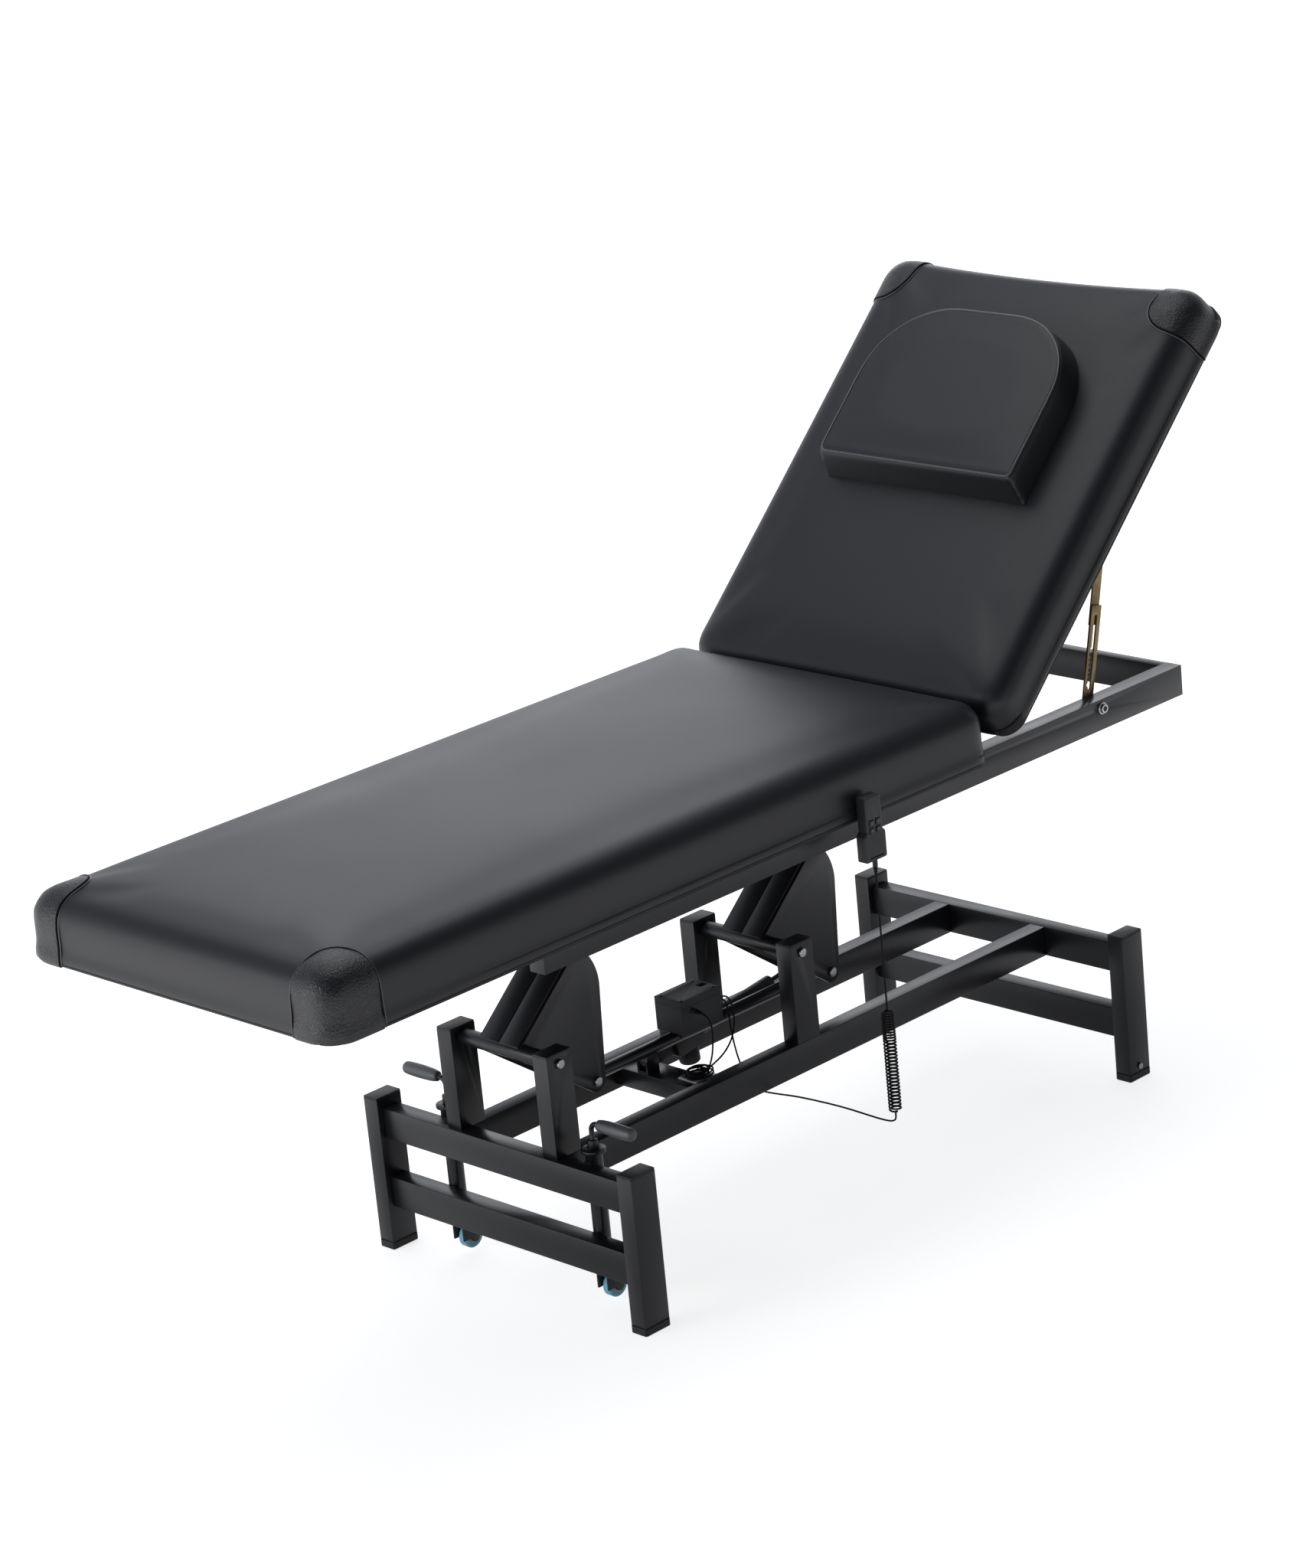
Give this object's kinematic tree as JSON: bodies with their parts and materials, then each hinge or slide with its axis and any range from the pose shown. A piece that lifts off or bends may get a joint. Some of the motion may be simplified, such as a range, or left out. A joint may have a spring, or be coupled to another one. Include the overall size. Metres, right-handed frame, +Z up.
{
  "type": "electric massage table",
  "caption": "Electric lift massage table with a tilting backrest, pillow, black tube frame, handset and lifting castors, backrest raised.",
  "frame": {"origin": "middle of the footprint on the floor, on the table's mid plane, backrest raised", "axes": "+X towards the head end along the table, +Z up, -Y is the side with the handset"},
  "size_m": [1.9803, 0.6916, 1.2637],
  "materials": {
    "frame_black": "satin",
    "plastic_black": "matte",
    "vinyl": "satin",
    "leather_corner": "satin",
    "board": "matte",
    "bright_steel": "polished",
    "zinc_yellow": "satin",
    "pale_plate": "satin",
    "box_plastic": "matte",
    "rubber_cord": "matte",
    "handset_plastic": "matte",
    "key_plastic": "matte",
    "tyre_blue": "matte",
    "hub_grey": "matte",
    "grip_black": "matte",
    "actuator_metal": "satin"
  },
  "bodies": {
    "base": {"posts": "frame_black", "cross_rails": "frame_black", "long_rails": "frame_black", "uprights": "frame_black", "leg_glides": "plastic_black", "tube_caps": "plastic_black", "cross_member": "frame_black", "cable_plate": "pale_plate", "base_bolts": "bright_steel", "actuator_bracket": "frame_black", "castor_sleeves": "frame_black", "tail_cord": "rubber_cord", "box_cables": "rubber_cord"},
    "foot_rocker": {"foot_rocker_arm": "frame_black", "foot_rocker_plates": "frame_black", "foot_link_bolt": "bright_steel"},
    "head_rocker": {"head_rocker_arm": "frame_black", "head_rocker_plates": "frame_black", "head_link_bolt": "bright_steel"},
    "tie_rod": {"tie_rod": "frame_black", "control_box": "box_plastic", "control_lid": "box_plastic"},
    "actuator_body": {"gear_housing": "actuator_metal", "actuator_tube": "actuator_metal", "motor": "actuator_metal"},
    "actuator_rod": {"actuator_rod": "bright_steel"},
    "bed_frame": {"bed_rails": "frame_black", "bed_cross_members": "frame_black", "bed_pivot_bolts": "bright_steel", "seat_pad": "vinyl", "seat_board": "board", "seat_corner_caps": "leather_corner", "strut_bolts": "bright_steel", "handset": "handset_plastic", "handset_clip": "plastic_black", "handset_cord": "rubber_cord"},
    "backrest": {"back_pad": "vinyl", "back_board": "board", "back_corner_caps": "leather_corner", "back_brackets": "frame_black", "pillow": "vinyl"},
    "near_slot_bar": {"near_slot_bar": "zinc_yellow"},
    "far_slot_bar": {"far_slot_bar": "zinc_yellow"},
    "near_plain_bar": {"near_plain_bar": "zinc_yellow"},
    "far_plain_bar": {"far_plain_bar": "zinc_yellow"},
    "key_up_left": {"key_up_left": "key_plastic"},
    "key_up_right": {"key_up_right": "key_plastic"},
    "key_down_left": {"key_down_left": "key_plastic"},
    "key_down_right": {"key_down_right": "key_plastic"},
    "near_castor_stem": {"near_castor_stem": "frame_black"},
    "near_castor_wheel": {"near_castor_hub": "hub_grey", "near_castor_tyre": "tyre_blue"},
    "near_crank": {"near_crank": "frame_black", "near_grip": "grip_black"},
    "far_castor_stem": {"far_castor_stem": "frame_black"},
    "far_castor_wheel": {"far_castor_hub": "hub_grey", "far_castor_tyre": "tyre_blue"},
    "far_crank": {"far_crank": "frame_black", "far_grip": "grip_black"}
  },
  "joints": [
    {"name": "lift", "type": "hinge", "parent": "base", "child": "foot_rocker", "pos_m": [-0.39763, 0, 0.3804], "axis": [0, -1, 0], "range_deg": [-24, 24], "deforming": ["tail_cord", "box_cables"]},
    {"name": "head_rocker_turn", "type": "hinge", "parent": "base", "child": "head_rocker", "pos_m": [0.12577, 0, 0.3804], "axis": [0, -1, 0], "range_deg": [-24, 24]},
    {"name": "bed_level", "type": "hinge", "parent": "foot_rocker", "child": "bed_frame", "pos_m": [-0.17122, 0, 0.57722], "axis": [0, -1, 0], "range_deg": [-24, 24]},
    {"name": "tie_rod_level", "type": "hinge", "parent": "foot_rocker", "child": "tie_rod", "pos_m": [-0.25813, 0, 0.2864], "axis": [0, -1, 0], "range_deg": [-24, 24]},
    {"name": "actuator_tilt", "type": "hinge", "parent": "base", "child": "actuator_body", "pos_m": [-0.08493, 0.026, 0.243], "axis": [0, -1, 0], "range_deg": [-8.7, 8.7]},
    {"name": "actuator_rod_tilt", "type": "hinge", "parent": "head_rocker", "child": "actuator_rod", "pos_m": [0.26527, 0, 0.2864], "axis": [0, -1, 0], "range_deg": [-15.5, 15.5]},
    {"name": "backrest_tilt", "type": "hinge", "parent": "bed_frame", "child": "backrest", "pos_m": [0.40107, 0, 0.724], "axis": [0, -1, 0], "range_deg": [-43.4, 0]},
    {"name": "near_slot_bar_turn", "type": "hinge", "parent": "bed_frame", "child": "near_slot_bar", "pos_m": [0.68407, -0.2492, 0.64], "axis": [0, -1, 0], "range_deg": [-69.5, 0]},
    {"name": "near_plain_bar_turn", "type": "hinge", "parent": "backrest", "child": "near_plain_bar", "pos_m": [0.76906, -0.2459, 0.98253], "axis": [0, -1, 0], "range_deg": [-26.1, 0]},
    {"name": "far_slot_bar_turn", "type": "hinge", "parent": "bed_frame", "child": "far_slot_bar", "pos_m": [0.68407, 0.2492, 0.64], "axis": [0, -1, 0], "range_deg": [-69.5, 0]},
    {"name": "far_plain_bar_turn", "type": "hinge", "parent": "backrest", "child": "far_plain_bar", "pos_m": [0.76906, 0.2459, 0.98253], "axis": [0, -1, 0], "range_deg": [-26.1, 0]},
    {"name": "press_up_left", "type": "slide", "parent": "bed_frame", "child": "key_up_left", "axis": [0, 1, 0], "range_m": [0, 0.001], "stiffness_N_per_m": 1500, "springref_m": -0.0002},
    {"name": "press_up_right", "type": "slide", "parent": "bed_frame", "child": "key_up_right", "axis": [0, 1, 0], "range_m": [0, 0.001], "stiffness_N_per_m": 1500, "springref_m": -0.0002},
    {"name": "press_down_left", "type": "slide", "parent": "bed_frame", "child": "key_down_left", "axis": [0, 1, 0], "range_m": [0, 0.001], "stiffness_N_per_m": 1500, "springref_m": -0.0002},
    {"name": "press_down_right", "type": "slide", "parent": "bed_frame", "child": "key_down_right", "axis": [0, 1, 0], "range_m": [0, 0.001], "stiffness_N_per_m": 1500, "springref_m": -0.0002},
    {"name": "near_castor_drop", "type": "slide", "parent": "base", "child": "near_castor_stem", "axis": [0, 0, -1], "range_m": [0, 0.0157]},
    {"name": "near_crank_turn", "type": "hinge", "parent": "base", "child": "near_crank", "pos_m": [-0.38393, -0.158, 0.2503], "axis": [0, 0, 1], "range_deg": [0, 100]},
    {"name": "near_wheel_roll", "type": "hinge", "parent": "near_castor_stem", "child": "near_castor_wheel", "pos_m": [-0.36893, -0.158, 0.025], "axis": [0, 1, 0], "continuous": true},
    {"name": "far_castor_drop", "type": "slide", "parent": "base", "child": "far_castor_stem", "axis": [0, 0, -1], "range_m": [0, 0.0157]},
    {"name": "far_crank_turn", "type": "hinge", "parent": "base", "child": "far_crank", "pos_m": [-0.38393, 0.158, 0.2503], "axis": [0, 0, 1], "range_deg": [0, 100]},
    {"name": "far_wheel_roll", "type": "hinge", "parent": "far_castor_stem", "child": "far_castor_wheel", "pos_m": [-0.36893, 0.158, 0.025], "axis": [0, 1, 0], "continuous": true}
  ],
  "couplings": [
    {"joint": "head_rocker_turn", "follows": "lift", "ratio": 1},
    {"joint": "bed_level", "follows": "lift", "ratio": -1},
    {"joint": "tie_rod_level", "follows": "lift", "ratio": -1},
    {"joint": "actuator_tilt", "follows": "lift", "ratio": 0.358},
    {"joint": "actuator_rod_tilt", "follows": "lift", "ratio": -0.642},
    {"joint": "near_slot_bar_turn", "follows": "backrest_tilt", "ratio": 1.5986},
    {"joint": "near_plain_bar_turn", "follows": "backrest_tilt", "ratio": 0.5986},
    {"joint": "far_slot_bar_turn", "follows": "backrest_tilt", "ratio": 1.5986},
    {"joint": "far_plain_bar_turn", "follows": "backrest_tilt", "ratio": 0.5986},
    {"joint": "near_crank_turn", "follows": "near_castor_drop", "rad_per_m": 111},
    {"joint": "far_crank_turn", "follows": "far_castor_drop", "rad_per_m": 111}
  ]
}
